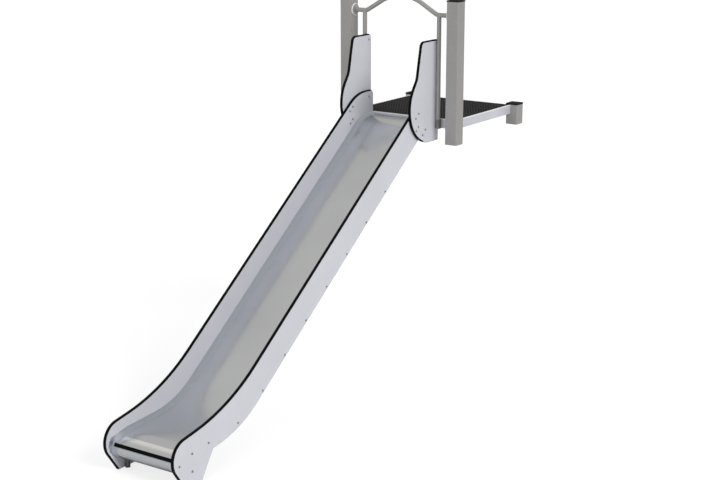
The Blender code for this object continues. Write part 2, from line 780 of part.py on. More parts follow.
def add_arch():
    """The arch rail over the entrance with its flanges, uprights and brackets."""
    points = arch_points()
    add_part(bar_along("arch_rail", points, TUBE_RADIUS, RAIL_RESOLUTION), "galvanised")
    cope = bar_along("arch_cope", points, TUBE_RADIUS + GAP, CUTTER_RESOLUTION)
    cope = add_cutter(as_mesh(cope))

    bore = TUBE_RADIUS + GAP
    rim = ROSETTE_RADIUS
    flange_profile = (
        (rim - ROSETTE_EDGE, ROSETTE_THICKNESS),
        (rim, ROSETTE_THICKNESS - ROSETTE_EDGE),
        (rim, 0.0),
        (bore, 0.0),
        (bore, ROSETTE_THICKNESS),
    )
    for sign in (-1, 1):
        side = side_name(sign)
        flange = turned_ring(f"rosette_{side}", flange_profile)
        turn = Matrix.Rotation(-sign * tau / 4, 4, "Y")
        flange.matrix_world = Matrix.Translation((sign * STUB_END_X, ARCH_Y, ARCH_LEVEL)) @ turn
        add_part(flange, "bright_flange")

        foot = (sign * UPRIGHT_X, ARCH_Y, DECK_LEVEL)
        head = (sign * UPRIGHT_X, ARCH_Y, ARCH_LEVEL)
        upright = straight_bar(f"upright_{side}", foot, head)
        cut(upright, cope)
        add_part(upright, "galvanised")

        name = f"upright_bracket_{side}"
        height = BEAM_HEIGHT - GAP
        place = (sign * UPRIGHT_X, 0.0, BEAM_BOTTOM + height / 2)
        outline = bracket_outline()
        bracket = extruded(name, [outline], height, PLANE_XY, place, BRACKET_ARRIS)
        add_part(bracket, "cast_bracket")


clear_scene()
slide = new_collection("embankment_slide")
cutters = new_collection("cutters")
add_posts()
add_deck()
add_panels()
add_chute()
add_tubes_under_chute()
add_arch()
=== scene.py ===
"""Looks of the embankment slide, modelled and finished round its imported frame.

Metres, +Z up, the exit faces -Y. Left and right are as seen from the exit.
"""

from math import cos, pi, radians, sin, tan

import bmesh
import bpy
from mathutils import Matrix, Vector


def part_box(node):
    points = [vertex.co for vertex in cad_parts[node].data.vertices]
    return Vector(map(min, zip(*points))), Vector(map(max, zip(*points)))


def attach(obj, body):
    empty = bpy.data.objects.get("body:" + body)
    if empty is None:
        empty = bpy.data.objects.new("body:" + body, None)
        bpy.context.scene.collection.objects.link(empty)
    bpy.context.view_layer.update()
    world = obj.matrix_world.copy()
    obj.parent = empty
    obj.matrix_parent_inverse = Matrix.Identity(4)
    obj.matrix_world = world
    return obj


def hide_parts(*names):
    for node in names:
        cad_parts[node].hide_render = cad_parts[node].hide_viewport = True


# Camera and light
CAMERA_PLACE = (5.992, -9.426, 3.840)
CAMERA_TURN = (75.421, 0.0, 34.023)
CAMERA_LENS = 74.47
SENSOR_WIDTH = 36.0
SUN_POWER = 1.77
SUN_SOFTNESS = 25.0
SUN_FROM = (0.80, -0.14, 0.58)
FILL_POWER = 0.76
FILL_SOFTNESS = 25.0
FILL_FROM = (0.15, -0.95, 0.25)

# Sky: its strength on the object, and its tint and strength in reflections, where it brightens from
# a low to a high way of looking, each given as the Z of the ray's direction
DAYLIGHT = 0.55
GLOSS_TINT = (1.0, 0.97, 0.93)
GLOSS_LOW = 0.42
GLOSS_HIGH = 0.633
GLOSS_LOW_AT = 0.1
GLOSS_HIGH_AT = 0.5

# Floor: its paint, and the share and strength of the glow that only the camera sees
FLOOR_REACH = 40.0
FLOOR_PAINT = (0.69, 0.69, 0.69)
FLOOR_GLOW_SHARE = 0.55
FLOOR_GLOW = 1.38

# Finishing: up to SMOOTH_ANGLE faces shade as one, up to FLAT_ANGLE they are merged into one, both in
# degrees, and up to MERGE_DISTANCE points are one
SMOOTH_ANGLE = 35.0
FLAT_ANGLE = 0.2
MERGE_DISTANCE = 0.00002
MIRROR_MERGE_DISTANCE = 0.0002
EDGE_STEPS = 2

# How far along an axis a face's normal reaches where the face looks that way, and where it lies
# square to the axis
LOOKS_ALONG = 0.5
SQUARE_TO = 0.999

# Tubes and posts: their walls, and how far in their open ends reach
TUBE_WALL = 0.0026
TUBE_SIDES = 64
TUBE_MOUTH = 0.030
POST_CORNER = 0.008
POST_CORNER_STEPS = 8
POST_WALL = 0.004
POST_MOUTH = 0.060

# Side and wing panels: the rounding of their edges, and the black rim on their faces, which follows
# the edges whose outward way lies above a line of this slope, so those in front and on top
PANEL_EDGE = 0.0009
PANEL_EDGE_STEPS = 3
PANEL_RIM = 0.0072
PANEL_RIM_SLOPE = 3.0

# Rounding of the edges of caps, beams and deck board
CAP_EDGE = 0.0012
BEAM_EDGE = 0.0008
BOARD_EDGE = 0.0006

# Flanges of the rail: the share of their thickness that the rounding of the rim takes
FLANGE_RIM_SHARE = 0.6
FLANGE_RIM_STEPS = 5

# Cast feet of the uprights: they narrow to this share at the beam, with two grooves round them
BRACKET_EDGE = 0.0003
BRACKET_TAPER = 0.45
BRACKET_GROOVES = (1.862, 1.900)
GROOVE_WIDTH = 0.006
GROOVE_LIP = 0.00075
GROOVE_DEPTH = 0.0022

# Arch rail: bends beside the posts, sloping flanks, and the reach from a post to the bend's corner
RAIL_BEND_RADIUS = 0.060
RAIL_SLOPE = radians(30.45)
RAIL_STUB = 0.1095
RAIL_BEND_STEPS = 10
RAIL_CROWN_STEPS = 16

# Bolts: domed heads on a thin skirt, with a hexagon socket
HEAD_RADIUS = 0.0066
HEAD_HEIGHT = 0.0042
HEAD_SIDES = 28
HEAD_DOME = 0.0030
HEAD_DOME_STEPS = 4
SOCKET_RADIUS = 0.0032
SOCKET_DEPTH = 0.0024
SOCKET_SIDES = 6
SKIRT_RADIUS = 0.0080
SKIRT_HEIGHT = 0.0010

# Bolt places as (y, z)
LEG_BOLTS = ((-2.850, 0.217), (-2.853, 0.099))
NOSE_BOLTS = ((-2.973, 0.172),)
WING_BOLTS_HIGH = ((-0.243, 1.988), (-0.282, 1.958), (-0.245, 1.892), (-0.274, 1.864))
WING_BOLTS_LOW = ((-0.149, 1.857), (-0.185, 1.820))
UPRIGHT_BOLT_ON_WING = (0.001, 2.467)
UPRIGHT_BOLT_ON_PANEL = (-0.024, 2.035)

# Tread of the deck: low diamond studs in staggered rows, narrower at the top
STUD_PITCH = 0.024
STUD_ROW_PITCH = 0.020
STUD_SIDES = 4
STUD_RADIUS = 0.0072
STUD_TOP_SHARE = 0.62
STUD_HEIGHT = 0.0010
STUD_SUNK = 0.0004
TREAD_MARGIN = 0.014

# Tones of the finishes; a pair is the dark and the light tone that a finish moves between
LAMINATE_TONES = ((0.557, 0.562, 0.608), (0.595, 0.600, 0.644))
CORE_TONES = ((0.0020, 0.0020, 0.0025), (0.0060, 0.0060, 0.0070))
SHEET_TONES = ((0.620, 0.640, 0.669), (0.672, 0.693, 0.722))
SCRATCH_TONE = (0.73, 0.74, 0.76)
# Painted shade and painted reflection of the side panels in the chute's corners, and painted light on its
# cheeks
CORNER_SHADE_TONE = (0.530, 0.580, 0.655)
CHEEK_LIGHT_TONE = (0.700, 0.745, 0.820)
# Painted highlight along the top of the chute's nose
NOSE_HIGHLIGHT_TONE = (0.97, 0.99, 1.0)
GALVANISED_TONES = ((0.400, 0.394, 0.386), (0.434, 0.428, 0.420))
STREAK_TONE = (0.370, 0.364, 0.357)
# Zinc on the flanges' rims, made bright as a painted highlight
ZINC_RIM_HIGHLIGHT_TONES = ((0.74, 0.74, 0.735), (0.82, 0.82, 0.81))
ALUMINIUM_TONES = ((0.605, 0.610, 0.663), (0.668, 0.673, 0.720))
# Painted highlight on the beams' upper rim
RIM_HIGHLIGHT_TONE = (0.92, 0.92, 0.94)
TREAD_TONES = ((0.009, 0.009, 0.010), (0.014, 0.014, 0.014))
CREST_TONES = ((0.042, 0.042, 0.043), (0.062, 0.062, 0.063))
CAP_TONES = ((0.014, 0.014, 0.014), (0.022, 0.022, 0.022))
STRIP_TONES = ((0.0025, 0.0025, 0.0025), (0.006, 0.006, 0.006))
BOLT_TONES = ((0.330, 0.333, 0.350), (0.400, 0.403, 0.420))
CAST_TONES = ((0.200, 0.200, 0.204), (0.250, 0.250, 0.254))

# Share of the galvanised tones that the exit legs keep, darkened as painted shade for their place under the
# nose
LEG_SHADE_TINT = 0.32

# Streaks on galvanised bars, counted per metre along each axis: few lengthwise, many across
STREAKS_UPRIGHT = (240.0, 240.0, 5.0)
STREAKS_ACROSS = (5.0, 240.0, 240.0)

# How far the outlines of the zinc's flakes are bent, along each axis
FLAKE_WARP = (0.012, 0.012, 0.012)

# Specular level of black laminate, plastic and rubber
DULL = 0.05

# Tint of the ground steel's sheen at a grazing look
GROUND_SHEEN = (0.70, 0.70, 0.70, 1.0)

# Where the chute's finish changes, each as (none of it, all of it): out to the corners, which turn rougher
# and carry a painted shade and painted reflection of the side panels, on to the cheeks, where that paint
# turns lighter as painted light, and at the nose's painted highlight from above, from below and from aside
CORNER_SPAN = (0.208, 0.262)
CHEEK_SPAN = (-2.870, -2.930)
NOSE_HIGHLIGHT_FROM_ABOVE = (-2.894, -2.901)
NOSE_HIGHLIGHT_FROM_BELOW = (-2.948, -2.916)
NOSE_HIGHLIGHT_FROM_ASIDE = (0.230, 0.212)

# Heights between which the beams' upper rim turns bright as a painted highlight, as (none of it, all of it)
RIM_HIGHLIGHT_SPAN = (1.904, 1.911)

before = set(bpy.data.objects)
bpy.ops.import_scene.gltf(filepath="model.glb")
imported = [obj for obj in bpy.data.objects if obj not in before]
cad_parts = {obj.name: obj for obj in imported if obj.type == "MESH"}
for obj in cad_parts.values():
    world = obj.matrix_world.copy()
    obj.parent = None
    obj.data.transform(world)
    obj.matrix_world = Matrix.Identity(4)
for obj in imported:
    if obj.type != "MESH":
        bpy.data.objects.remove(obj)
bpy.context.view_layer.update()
cross_tubes = sorted(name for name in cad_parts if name.startswith("cross_tube"))
bpy.ops.object.select_all(action="DESELECT")


# Camera

def add_camera():
    """The camera at the photograph's place and angle."""
    bpy.ops.object.camera_add(location=CAMERA_PLACE, rotation=[radians(turn) for turn in CAMERA_TURN])
    camera = bpy.context.object
    camera.data.lens = CAMERA_LENS
    camera.data.sensor_width = SENSOR_WIDTH
    bpy.context.scene.camera = camera


# Shader building

def add_node(tree, kind, inputs=None, **settings):
    """A shader node with its settings, its inputs given as values or as other nodes' outputs."""
    made = tree.nodes.new(kind)
    for name, value in settings.items():
        setattr(made, name, value)
    for name, value in (inputs or {}).items():
        if isinstance(value, bpy.types.NodeSocket):
            tree.links.new(value, made.inputs[name])
        else:
            made.inputs[name].default_value = value
    return made


def new_group(name, inputs, outputs):
    """An empty node group with named inputs (name, kind, value) and outputs (name, kind)."""
    group = bpy.data.node_groups.new(name, "ShaderNodeTree")
    for label, kind, value in inputs:
        socket = group.interface.new_socket(label, in_out="INPUT", socket_type=kind)
        socket.default_value = value
    for label, kind in outputs:
        group.interface.new_socket(label, in_out="OUTPUT", socket_type=kind)
    entry = group.nodes.new("NodeGroupInput")
    return group, entry, group.nodes.new("NodeGroupOutput")


def piece_coordinates(tree):
    """The coordinates of the piece itself, in metres."""
    return add_node(tree, "ShaderNodeTexCoord").outputs["Object"]


def product(tree, first, second):
    """One mask times another."""
    return add_node(tree, "ShaderNodeMath", {0: first, 1: second}, operation="MULTIPLY").outputs["Value"]


def cloudy_group():
    """Soft uneven patches."""
    group, entry, end = new_group(
        "cloudy patches",
        [("Scale", "NodeSocketFloat", 5.0)],
        [("Mask", "NodeSocketFloat")],
    )
    noise = add_node(group, "ShaderNodeTexNoise", {
        "Vector": piece_coordinates(group),
        "Scale": entry.outputs["Scale"],
        "Detail": 5.0,
        "Roughness": 0.55,
    })
    spread = add_node(group, "ShaderNodeMapRange", {
        "Value": noise.outputs["Fac"],
        "From Min": 0.32,
        "From Max": 0.68,
    })
    group.links.new(spread.outputs["Result"], end.inputs["Mask"])
    return group


def lines_group():
    """Fine drawn or ground lines; Density counts them per metre along each axis."""
    group, entry, end = new_group(
        "drawn lines",
        [("Density", "NodeSocketVector", (1.0, 1.0, 1.0))],
        [("Mask", "NodeSocketFloat"), ("Height", "NodeSocketFloat")],
    )
    stretched = add_node(group, "ShaderNodeVectorMath", {
        0: piece_coordinates(group),
        1: entry.outputs["Density"],
    }, operation="MULTIPLY")
    noise = add_node(group, "ShaderNodeTexNoise", {
        "Vector": stretched.outputs["Vector"],
        "Scale": 1.0,
        "Detail": 4.0,
        "Roughness": 0.7,
    })
    spread = add_node(group, "ShaderNodeMapRange", {
        "Value": noise.outputs["Fac"],
        "From Min": 0.3,
        "From Max": 0.7,
    })
    group.links.new(spread.outputs["Result"], end.inputs["Mask"])
    group.links.new(noise.outputs["Fac"], end.inputs["Height"])
    return group


def spangle_group():
    """The crystal flakes of a zinc coating, each of its own tone."""
    group, entry, end = new_group(
        "zinc spangle",
        [("Scale", "NodeSocketFloat", 60.0)],
        [("Tone", "NodeSocketFloat"), ("Height", "NodeSocketFloat")],
    )
    place = piece_coordinates(group)
    warp = add_node(group, "ShaderNodeTexNoise", {"Vector": place, "Scale": 35.0, "Detail": 3.0})
    shifted = add_node(group, "ShaderNodeVectorMath", {
        0: warp.outputs["Color"],
        1: FLAKE_WARP,
        2: place,
    }, operation="MULTIPLY_ADD")
    flakes = add_node(group, "ShaderNodeTexVoronoi", {
        "Vector": shifted.outputs["Vector"],
        "Scale": entry.outputs["Scale"],
    })
    tones = add_node(group, "ShaderNodeSeparateColor", {"Color": flakes.outputs["Color"]})
    group.links.new(tones.outputs["Red"], end.inputs["Tone"])
    group.links.new(flakes.outputs["Distance"], end.inputs["Height"])
    return group


def grain_group():
    """A fine pebbled skin, as on laminate and moulded plastic."""
    group, entry, end = new_group(
        "pebble grain",
        [("Scale", "NodeSocketFloat", 900.0)],
        [("Height", "NodeSocketFloat")],
    )
    noise = add_node(group, "ShaderNodeTexNoise", {
        "Vector": piece_coordinates(group),
        "Scale": entry.outputs["Scale"],
        "Detail": 2.0,
        "Roughness": 0.6,
    })
    group.links.new(noise.outputs["Fac"], end.inputs["Height"])
    return group


def scratch_group():
    """Sparse long scratches; Density counts them per metre along each axis."""
    group, entry, end = new_group(
        "long scratches",
        [("Density", "NodeSocketVector", (1.0, 1.0, 1.0)), ("Share", "NodeSocketFloat", 0.3)],
        [("Mask", "NodeSocketFloat")],
    )
    place = piece_coordinates(group)
    stretched = add_node(group, "ShaderNodeVectorMath", {
        0: place,
        1: entry.outputs["Density"],
    }, operation="MULTIPLY")
    lines = add_node(group, "ShaderNodeTexNoise", {
        "Vector": stretched.outputs["Vector"],
        "Scale": 1.0,
        "Detail": 1.0,
    })
    sharp = add_node(group, "ShaderNodeMapRange", {
        "Value": lines.outputs["Fac"],
        "From Min": 0.66,
        "From Max": 0.72,
    })
    patches = add_node(group, "ShaderNodeTexNoise", {"Vector": place, "Scale": 2.5, "Detail": 2.0})
    shown = add_node(group, "ShaderNodeMapRange", {
        "Value": patches.outputs["Fac"],
        "From Min": 0.45,
        "From Max": 0.65,
        "To Max": entry.outputs["Share"],
    })
    group.links.new(product(group, sharp.outputs["Result"], shown.outputs["Result"]), end.inputs["Mask"])
    return group


EFFECTS = {
    "cloudy": cloudy_group(),
    "lines": lines_group(),
    "spangle": spangle_group(),
    "grain": grain_group(),
    "scratches": scratch_group(),
}


def effect(tree, name, **values):
    """One of the shared effects, placed in a material with its own values."""
    placed = add_node(tree, "ShaderNodeGroup", node_tree=EFFECTS[name])
    for label, value in values.items():
        placed.inputs[label.capitalize()].default_value = value
    return placed


def between(tree, share, first, second):
    """A colour that moves from the first to the second with a mask."""
    mixed = add_node(tree, "ShaderNodeMix", data_type="RGBA")
    tree.links.new(share, mixed.inputs["Factor"])
    for label, colour in (("A", first), ("B", second)):
        socket = next(s for s in mixed.inputs if s.name == label and s.type == "RGBA")
        if isinstance(colour, bpy.types.NodeSocket):
            tree.links.new(colour, socket)
        else:
            socket.default_value = (*colour, 1.0)
    return next(s for s in mixed.outputs if s.type == "RGBA")


def ranged(tree, value, low, high):
    """A mask from 0 to 1 spread between a low and a high value."""
    spread = add_node(tree, "ShaderNodeMapRange", {"Value": value, "To Min": low, "To Max": high})
    return spread.outputs["Result"]


def faded(tree, value, span):
    """A mask that rises softly from 0 to 1 between the two ends of a span."""
    rise = add_node(tree, "ShaderNodeMapRange", {
        "Value": value,
        "From Min": span[0],
        "From Max": span[1],
    }, interpolation_type="SMOOTHSTEP")
    return rise.outputs["Result"]


def bumped(tree, height, depth, over=None):
    """The normal of a relief, its depth in metres, laid over another relief's normal if one is given."""
    bump = add_node(tree, "ShaderNodeBump", {"Height": height, "Distance": depth})
    if over is not None:
        tree.links.new(over, bump.inputs["Normal"])
    return bump.outputs["Normal"]


def new_material(name, metallic, gloss=0.5):
    """A material with its node tree and its surface shader."""
    material = bpy.data.materials.new(name)
    material.use_nodes = True
    shader = material.node_tree.nodes["Principled BSDF"]
    shader.inputs["Metallic"].default_value = metallic
    shader.inputs["Specular IOR Level"].default_value = gloss
    return material, material.node_tree, shader


def wire(tree, shader, colour, roughness, normal):
    """Join a colour, a roughness and a normal to the surface shader."""
    tree.links.new(colour, shader.inputs["Base Color"])
    tree.links.new(roughness, shader.inputs["Roughness"])
    tree.links.new(normal, shader.inputs["Normal"])


# Finishes

def patchy_finish(name, metallic, patch_scale, tones, roughnesses, grain_scale, grain_depth, gloss=0.5):
    """A material whose tone and roughness move in soft patches, under a fine grain."""
    material, tree, shader = new_material(name, metallic, gloss)
    patches = effect(tree, "cloudy", scale=patch_scale)
    grain = effect(tree, "grain", scale=grain_scale)
    colour = between(tree, patches.outputs["Mask"], *tones)
    roughness = ranged(tree, patches.outputs["Mask"], *roughnesses)
    wire(tree, shader, colour, roughness, bumped(tree, grain.outputs["Height"], grain_depth))
    return material


def laminate_face():
    """Pale grey compact laminate: a pebbled skin, faintly uneven in tone."""
    material, tree, shader = new_material("laminate_face", metallic=0.0)
    patches = effect(tree, "cloudy", scale=2.2)
    wear_and_highlight = effect(tree, "cloudy", scale=14.0)
    grain = effect(tree, "grain", scale=1100.0)
    colour = between(tree, patches.outputs["Mask"], *LAMINATE_TONES)
    roughness = ranged(tree, wear_and_highlight.outputs["Mask"], low=0.38, high=0.50)
    wire(tree, shader, colour, roughness, bumped(tree, grain.outputs["Height"], depth=0.00006))
    return material


def laminate_core():
    """The panels' black core, milled at the edges."""
    material, tree, shader = new_material("laminate_core", metallic=0.0, gloss=DULL)
    layers = effect(tree, "lines", density=(900.0, 30.0, 30.0))
    wear_and_highlight = effect(tree, "cloudy", scale=30.0)
    colour = between(tree, layers.outputs["Mask"], *CORE_TONES)
    roughness = ranged(tree, wear_and_highlight.outputs["Mask"], low=0.38, high=0.55)
    wire(tree, shader, colour, roughness, bumped(tree, layers.outputs["Height"], depth=0.00008))
    return material


def chute_steel():
    """Ground stainless sheet, faintly worn: rougher in its corners, painted darker there as painted shade
    and painted reflection of the side panels, lighter on the cheeks as painted light, with a painted
    highlight at the nose.
    """
    material, tree, shader = new_material("chute_steel", metallic=1.0)
    shader.inputs["Specular Tint"].default_value = GROUND_SHEEN
    place = add_node(tree, "ShaderNodeSeparateXYZ", {"Vector": piece_coordinates(tree)})
    aside = add_node(tree, "ShaderNodeMath", {0: place.outputs["X"]}, operation="ABSOLUTE").outputs["Value"]
    corner = faded(tree, aside, CORNER_SPAN)
    cheek = faded(tree, place.outputs["Y"], CHEEK_SPAN)
    # Mask of a painted highlight in a band along the top of the nose
    wear_and_highlight = faded(tree, place.outputs["Y"], NOSE_HIGHLIGHT_FROM_ABOVE)
    for value, span in ((place.outputs["Y"], NOSE_HIGHLIGHT_FROM_BELOW), (aside, NOSE_HIGHLIGHT_FROM_ASIDE)):
        wear_and_highlight = product(tree, wear_and_highlight, faded(tree, value, span))
    grain = effect(tree, "lines", density=(1400.0, 6.0, 6.0))
    patches = effect(tree, "cloudy", scale=1.6)
    scratches = effect(tree, "scratches", density=(420.0, 3.0, 3.0), share=0.30)
    colour = between(tree, patches.outputs["Mask"], *SHEET_TONES)
    colour = between(tree, scratches.outputs["Mask"], colour, SCRATCH_TONE)
    # Painted shade and painted reflection of the side panels in the corners, turning to painted light on the
    # cheeks
    colour = between(tree, corner, colour, between(tree, cheek, CORNER_SHADE_TONE, CHEEK_LIGHT_TONE))
    # Painted highlight on the nose
    colour = between(tree, wear_and_highlight, colour, NOSE_HIGHLIGHT_TONE)
    roughness = ranged(tree, grain.outputs["Mask"], low=0.16, high=0.24)
    roughness = ranged(tree, corner, low=roughness, high=0.50)
    normal = bumped(tree, grain.outputs["Height"], depth=0.00002)
    normal = bumped(tree, scratches.outputs["Mask"], depth=0.00003, over=normal)
    wire(tree, shader, colour, roughness, normal)
    return material


def galvanised_steel(name, density, tint=1.0):
    """Matt galvanised steel in a warm grey, faintly streaked along the bar, darker with a low tint."""
    material, tree, shader = new_material(name, metallic=0.55)
    flakes = effect(tree, "spangle", scale=95.0)
    streaks = effect(tree, "lines", density=density)
    patches = effect(tree, "cloudy", scale=6.0)
    grain = effect(tree, "grain", scale=700.0)
    tones = (*GALVANISED_TONES, STREAK_TONE)
    dark, light, streak = [tuple(tint * share for share in tone) for tone in tones]
    colour = between(tree, flakes.outputs["Tone"], dark, light)
    streaked = ranged(tree, streaks.outputs["Mask"], low=0.0, high=0.45)
    colour = between(tree, streaked, colour, streak)
    roughness = ranged(tree, patches.outputs["Mask"], low=0.42, high=0.56)
    normal = bumped(tree, grain.outputs["Height"], depth=0.00008)
    normal = bumped(tree, flakes.outputs["Height"], depth=0.00002, over=normal)
    wire(tree, shader, colour, roughness, normal)
    return material


def zinc_rim_highlight():
    """Zinc plate on the rims of the rail's flanges, made bright as a painted highlight."""
    return patchy_finish(
        "zinc_rim_highlight", metallic=0.30, patch_scale=40.0, tones=ZINC_RIM_HIGHLIGHT_TONES, roughnesses=(0.28, 0.42),
        grain_scale=900.0, grain_depth=0.00004,
    )


def drawn_aluminium():
    """Pale anodised profile of the deck's beams, drawn lengthwise, with a painted highlight along its upper
    rim.
    """
    material, tree, shader = new_material("drawn_aluminium", metallic=0.35)
    place = add_node(tree, "ShaderNodeSeparateXYZ", {"Vector": piece_coordinates(tree)})
    draw = effect(tree, "lines", density=(60.0, 60.0, 900.0))
    patches = effect(tree, "cloudy", scale=5.0)
    colour = between(tree, patches.outputs["Mask"], *ALUMINIUM_TONES)
    # A painted highlight along the beams' upper rim
    beam_rim_highlight = faded(tree, place.outputs["Z"], RIM_HIGHLIGHT_SPAN)
    colour = between(tree, beam_rim_highlight, colour, RIM_HIGHLIGHT_TONE)
    roughness = ranged(tree, draw.outputs["Mask"], low=0.32, high=0.46)
    wire(tree, shader, colour, roughness, bumped(tree, draw.outputs["Height"], depth=0.00005))
    return material


def deck_tread():
    """Dark resin-bound deck board."""
    return patchy_finish(
        "deck_tread", metallic=0.0, patch_scale=9.0, tones=TREAD_TONES, roughnesses=(0.62, 0.76),
        grain_scale=420.0, grain_depth=0.00015, gloss=DULL,
    )


def tread_crest():
    """The studs of the deck's tread, lighter than the board."""
    return patchy_finish(
        "tread_crest", metallic=0.0, patch_scale=25.0, tones=CREST_TONES, roughnesses=(0.50, 0.64),
        grain_scale=600.0, grain_depth=0.00008, gloss=DULL,
    )


def moulded_black(name, tones):
    """Black moulded plastic or rubber with a fine grain."""
    return patchy_finish(
        name, metallic=0.0, patch_scale=18.0, tones=tones, roughnesses=(0.62, 0.78),
        grain_scale=1300.0, grain_depth=0.00006, gloss=DULL,
    )


def bolt_steel():
    """Dark passivated steel of the bolts."""
    return patchy_finish(
        "bolt_steel", metallic=0.8, patch_scale=60.0, tones=BOLT_TONES, roughnesses=(0.30, 0.45),
        grain_scale=900.0, grain_depth=0.00004,
    )


def cast_metal():
    """Grey cast metal of the uprights' feet, with a sandy skin."""
    return patchy_finish(
        "cast_metal", metallic=0.4, patch_scale=22.0, tones=CAST_TONES, roughnesses=(0.50, 0.66),
        grain_scale=380.0, grain_depth=0.0002,
    )


# Modelling by hand: what is selected, and how a piece is finished

def start_editing():
    """Edit the active piece with nothing selected."""
    bpy.ops.object.mode_set(mode="EDIT")
    bpy.ops.mesh.select_all(action="DESELECT")


def stop_editing():
    """Leave the active piece as it has been edited."""
    bpy.ops.object.mode_set(mode="OBJECT")


def pick_faces(test):
    """Select the faces whose middle and normal pass a test, and no others."""
    bpy.ops.mesh.select_mode(type="FACE")
    bpy.ops.mesh.select_all(action="DESELECT")
    bm = bmesh.from_edit_mesh(bpy.context.object.data)
    for face in bm.faces:
        face.select_set(test(face.calc_center_median(), face.normal))
    bmesh.update_edit_mesh(bpy.context.object.data)


def pick_edges(test):
    """Select the edges whose two ends pass a test, and no others."""
    bpy.ops.mesh.select_mode(type="EDGE")
    bpy.ops.mesh.select_all(action="DESELECT")
    bm = bmesh.from_edit_mesh(bpy.context.object.data)
    for edge in bm.edges:
        edge.select_set(test(edge.verts[0].co, edge.verts[1].co))
    bmesh.update_edit_mesh(bpy.context.object.data)


def only(piece):
    """Select one piece alone and make it active."""
    bpy.ops.object.select_all(action="DESELECT")
    piece.select_set(True)
    bpy.context.view_layer.objects.active = piece


def settle():
    """Put the active piece's place, turn and size into its mesh."""
    bpy.ops.object.transform_apply(location=True, rotation=True, scale=True)


def soften(piece):
    """Shade round faces smooth, with wide flat faces kept flat."""
    only(piece)
    bpy.ops.object.shade_smooth_by_angle(angle=radians(SMOOTH_ANGLE))
    bpy.ops.object.modifier_add(type="WEIGHTED_NORMAL")
    weighting = piece.modifiers[-1]
    weighting.keep_sharp = True
    bpy.ops.object.modifier_apply(modifier=weighting.name)


def round_edges(piece, width, steps=EDGE_STEPS):
    """Round a piece's sharp edges."""
    only(piece)
    bpy.ops.object.modifier_add(type="BEVEL")
    bevel = piece.modifiers[-1]
    bevel.width = width
    bevel.segments = steps
    bevel.limit_method = "ANGLE"
    bevel.angle_limit = radians(SMOOTH_ANGLE)
    bevel.harden_normals = False
    bpy.ops.object.modifier_apply(modifier=bevel.name)


def hand_over(piece, name, materials, nodes=()):
    """Name a finished piece, dress it and let it stand for its nodes."""
    piece.name = name
    piece.data.name = name
    for material in materials:
        if material.name not in piece.data.materials:
            piece.data.materials.append(material)
    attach(piece, "root")
    if nodes:
        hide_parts(*nodes)
    return piece


def merged_copy(node):
    """A copy of a node's shape, its loose triangles merged into whole faces."""
    piece = bpy.data.objects.new(f"{node}_copy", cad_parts[node].data.copy())
    bpy.context.scene.collection.objects.link(piece)
    piece.data.materials.clear()
    only(piece)
    bpy.ops.object.mode_set(mode="EDIT")
    bpy.ops.mesh.select_all(action="SELECT")
    bpy.ops.mesh.customdata_custom_splitnormals_clear()
    bpy.ops.mesh.remove_doubles(threshold=MERGE_DISTANCE)
    bpy.ops.mesh.dissolve_limited(angle_limit=radians(FLAT_ANGLE))
    stop_editing()
    return piece


def joined(pieces):
    """Several pieces as one."""
    bpy.ops.object.select_all(action="DESELECT")
    for piece in pieces:
        piece.select_set(True)
    bpy.context.view_layer.objects.active = pieces[0]
    bpy.ops.object.join()
    return bpy.context.object


# Pieces

def lies_in_front_or_on_top(face):
    """Whether a face of a panel's rim borders on an edge that looks to the front or up."""
    for edge in face.edges:
        for neighbour in edge.link_faces:
            if abs(neighbour.normal.x) < SQUARE_TO:
                return neighbour.normal.z > PANEL_RIM_SLOPE * neighbour.normal.y
    return False


def add_panels(face, core):
    """Side and wing panels: grey faces, black edges, and a black rim on the faces in front and on top."""
    for node in ("side_panel_left", "side_panel_right", "wing_panel_left", "wing_panel_right"):
        panel = merged_copy(node)
        start_editing()
        pick_faces(lambda spot, normal: abs(normal.x) > SQUARE_TO)
        bpy.ops.mesh.inset(thickness=PANEL_RIM)
        panel.data.materials.append(core)
        panel.data.materials.append(face)
        bm = bmesh.from_edit_mesh(panel.data)
        for polygon in bm.faces:
            flat = abs(polygon.normal.x) > SQUARE_TO
            grey = flat and (polygon.select or not lies_in_front_or_on_top(polygon))
            polygon.material_index = 1 if grey else 0
        bmesh.update_edit_mesh(panel.data)
        stop_editing()
        round_edges(panel, PANEL_EDGE, PANEL_EDGE_STEPS)
        soften(panel)
        hand_over(panel, f"{node}_board", (), (node,))


def add_chute(steel, rubber):
    """The chute's steel sheet and the black strip across its nose."""
    sheet = merged_copy("chute_bed")
    soften(sheet)
    hand_over(sheet, "chute_sheet", (steel,), ("chute_bed",))
    strip = merged_copy("nose_strip")
    soften(strip)
    hand_over(strip, "nose_grip_strip", (rubber,), ("nose_strip",))


def tube_between(low, high, axis):
    """A round tube that fills a box along its x or z axis, open at both ends."""
    low_end = getattr(low, axis)
    high_end = getattr(high, axis)
    turn = pi / 2 if axis == "x" else 0.0
    bpy.ops.mesh.primitive_cylinder_add(
        vertices=TUBE_SIDES, radius=(high.y - low.y) / 2, depth=high_end - low_end,
        location=(low + high) / 2, rotation=(0.0, turn, 0.0),
    )
    settle()
    for end, depth in ((low_end, TUBE_MOUTH), (high_end, -TUBE_MOUTH)):
        start_editing()
        pick_faces(lambda spot, normal: abs(getattr(spot, axis) - end) < MERGE_DISTANCE)
        bpy.ops.mesh.inset(thickness=TUBE_WALL)
        inward = Vector((0.0, 0.0, 0.0))
        setattr(inward, axis, depth)
        bpy.ops.mesh.extrude_region_move(TRANSFORM_OT_translate={"value": inward})
        stop_editing()
    tube = bpy.context.object
    soften(tube)
    return tube


